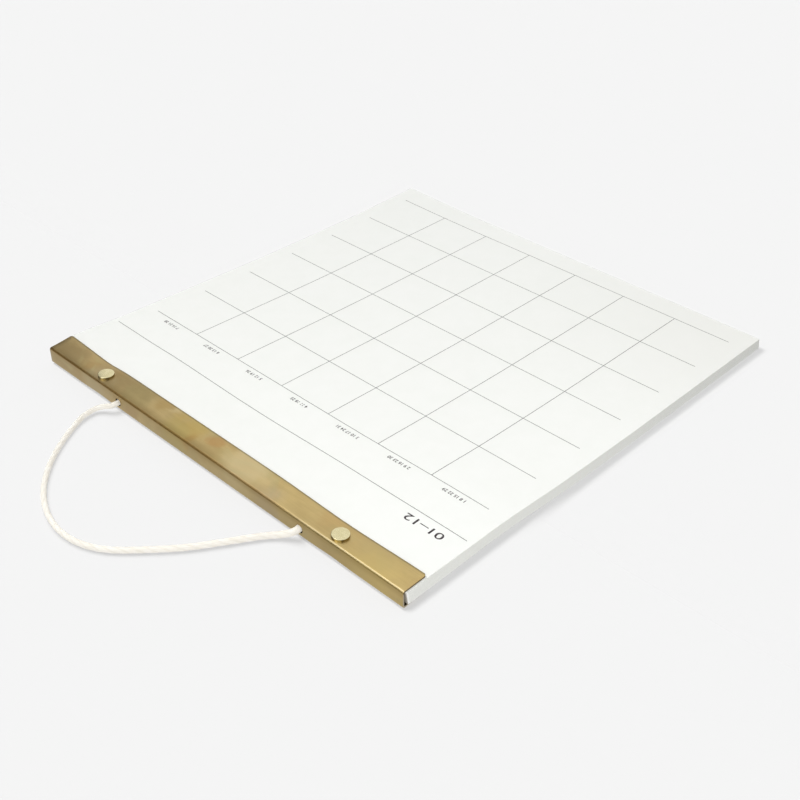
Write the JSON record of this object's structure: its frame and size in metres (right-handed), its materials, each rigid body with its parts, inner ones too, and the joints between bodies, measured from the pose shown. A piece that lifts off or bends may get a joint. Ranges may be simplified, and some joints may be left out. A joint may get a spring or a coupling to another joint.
{
  "type": "wall calendar",
  "caption": "Hanging wall calendar: a ruled paper pad clamped in a folded brass bar by two binding screws, with a cotton cord to hang it by.",
  "frame": {"origin": "bottom centre of the calendar's box without its cord, as it lies face up on a surface", "axes": "+X to the reader's right, +Y towards the bar, which is the top edge when it hangs, +Z out of the printed face"},
  "size_m": [0.305, 0.4105, 0.0136],
  "materials": {
    "paper": "uncoated off-white paper with thin grey printed rules",
    "satin_brass": "brushed lengthwise, slightly tarnished",
    "bright_brass": "polished pale brass",
    "cotton": "natural cream cotton cord"
  },
  "bodies": {
    "root": {"paper_pad": "paper", "header_bar": "satin_brass", "screw_post_left": "bright_brass", "screw_post_right": "bright_brass", "binding_screw_left": "bright_brass", "binding_screw_right": "bright_brass", "hang_cord": "cotton", "cord_knot_left": "cotton", "cord_knot_right": "cotton"}
  },
  "joints": []
}
